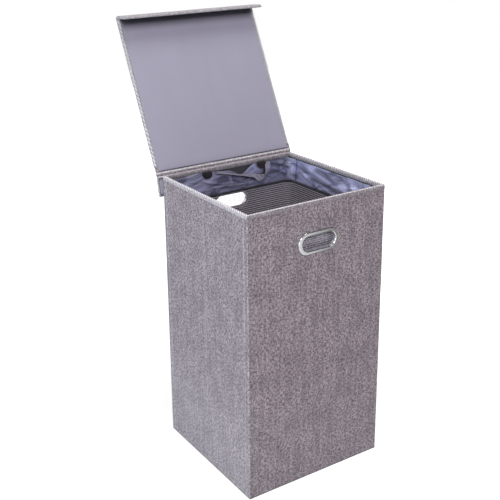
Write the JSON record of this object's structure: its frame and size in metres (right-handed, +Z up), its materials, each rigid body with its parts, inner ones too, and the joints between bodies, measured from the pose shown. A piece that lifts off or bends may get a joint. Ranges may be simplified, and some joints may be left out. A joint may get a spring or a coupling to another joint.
{
  "type": "laundry hamper with lid",
  "caption": "Tall square collapsible laundry hamper: cloth-covered board walls, framed hand holes, hinged lid with a folding lip, lift-up base panel and a hanging net liner.",
  "frame": {"origin": "centre of the underside, on the floor", "axes": "+Z up, -Y towards the side the lid opens from (the side with the lip), X along the lid hinge"},
  "size_m": [0.348, 0.4841, 0.9214],
  "materials": {
    "board": "matte",
    "cover_cloth": "matte",
    "wall_lining": "matte",
    "rim_tape": "matte",
    "bottom_cloth": "matte",
    "handle_metal": "polished",
    "washer_metal": "satin",
    "liner_satin": "satin",
    "liner_net": "matte",
    "liner_seam": "matte",
    "fastener_tape": "matte",
    "loop_tape": "matte",
    "lid_cloth": "matte",
    "lid_lining": "matte"
  },
  "bodies": {
    "root": {"bottom_cloth": "bottom_cloth", "flap_board": "board", "flap_cover": "cover_cloth", "flap_hook_strip": "fastener_tape", "front_board": "board", "front_cover": "cover_cloth", "front_handle_frame": "handle_metal", "front_handle_washer": "washer_metal", "front_lining": "wall_lining", "left_board_front": "board", "left_board_rear": "board", "left_cover": "cover_cloth", "left_lining": "wall_lining", "liner_band_front": "liner_satin", "liner_band_left": "liner_satin", "liner_band_rear": "liner_satin", "liner_band_right": "liner_satin", "liner_net_floor": "liner_net", "liner_net_front": "liner_net", "liner_net_left": "liner_net", "liner_net_rear": "liner_net", "liner_net_right": "liner_net", "liner_seam": "liner_seam", "liner_strap": "liner_satin", "liner_tabs_front": "fastener_tape", "liner_tabs_rear": "fastener_tape", "rear_board": "board", "rear_cover": "cover_cloth", "rear_handle_frame": "handle_metal", "rear_handle_washer": "washer_metal", "rear_lining": "wall_lining", "right_board_front": "board", "right_board_rear": "board", "right_cover": "cover_cloth", "right_lining": "wall_lining", "rim_tape": "rim_tape", "wall_loop_strip": "loop_tape"},
    "lid": {"lid_board": "board", "lid_cover": "lid_cloth", "lid_fold_roll": "lid_cloth", "lid_lining": "lid_lining"},
    "lip": {"lip_board": "board", "lip_cover": "lid_cloth", "lip_lining": "lid_lining"},
    "base": {"base_board": "board", "base_cover": "wall_lining"}
  },
  "joints": [
    {"name": "lid_hinge", "type": "hinge", "parent": "root", "child": "lid", "pos_m": [0, 0.1695, 0.6043], "axis": [-1, 0, 0], "range_deg": [-116, 134]},
    {"name": "lip_fold", "type": "hinge", "parent": "lid", "child": "lip", "pos_m": [0, 0.31955, 0.914], "axis": [-1, 0, 0], "range_deg": [0, 113]},
    {"name": "base_lift", "type": "hinge", "parent": "root", "child": "base", "pos_m": [0, 0.1514, 0.0053], "axis": [-1, 0, 0], "range_deg": [0, 88], "deforming": ["liner_net_front", "liner_net_rear", "liner_net_left", "liner_net_right", "liner_net_floor"]}
  ]
}
